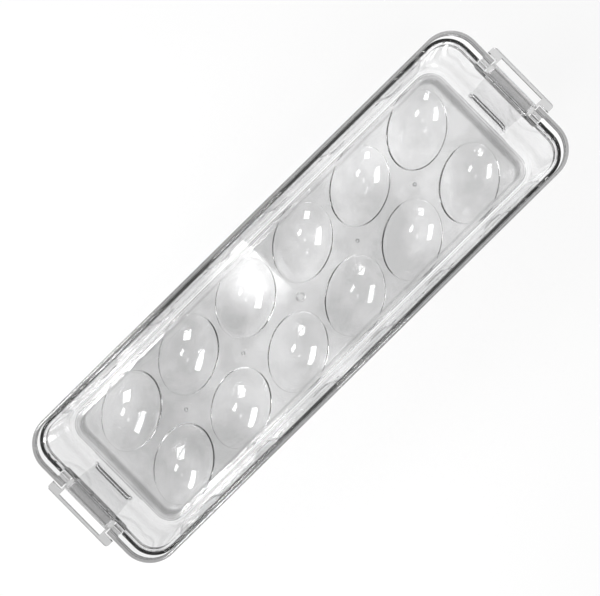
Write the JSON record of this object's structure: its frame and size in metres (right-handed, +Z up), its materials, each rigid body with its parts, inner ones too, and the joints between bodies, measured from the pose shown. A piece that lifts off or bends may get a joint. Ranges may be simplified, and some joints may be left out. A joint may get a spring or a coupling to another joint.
{
  "type": "egg keeper",
  "caption": "Clear lidded egg keeper with a lift-out insert of oval wells and a swinging clip at each end that the flat lid flips about.",
  "frame": {"origin": "centre of the footprint, on the surface that the tray stands on", "axes": "+X along the length towards the rear clip that the lid flips about, +Y across, +Z up"},
  "size_m": [0.3744, 0.1106, 0.072],
  "materials": {
    "clear_styrene": "water-clear moulded polystyrene, polished",
    "clear_insert": "water-clear moulded polystyrene, polished, thinner sheet",
    "clear_clip": "clear moulded styrene copolymer, polished"
  },
  "bodies": {
    "tray": {"tray": "clear_styrene"},
    "egg_insert": {"egg_insert": "clear_insert"},
    "lid": {"lid": "clear_styrene"},
    "clip_front": {"clip_front": "clear_clip"},
    "clip_rear": {"clip_rear": "clear_clip"}
  },
  "joints": [
    {"name": "lid_flip", "type": "hinge", "parent": "tray", "child": "lid", "pos_m": [0.176, 0, 0.0675], "axis": [0, 1, 0], "range_deg": [0, 90]},
    {"name": "clip_front_swing", "type": "hinge", "parent": "lid", "child": "clip_front", "pos_m": [-0.176, 0, 0.0675], "axis": [0, 1, 0], "range_deg": [0, 90]},
    {"name": "clip_rear_swing", "type": "hinge", "parent": "tray", "child": "clip_rear", "pos_m": [0.176, 0, 0.0675], "axis": [0, -1, 0], "range_deg": [0, 90]},
    {"name": "insert_lift", "type": "slide", "parent": "tray", "child": "egg_insert", "axis": [0, 0, 1], "range_m": [0, 0.045]}
  ]
}
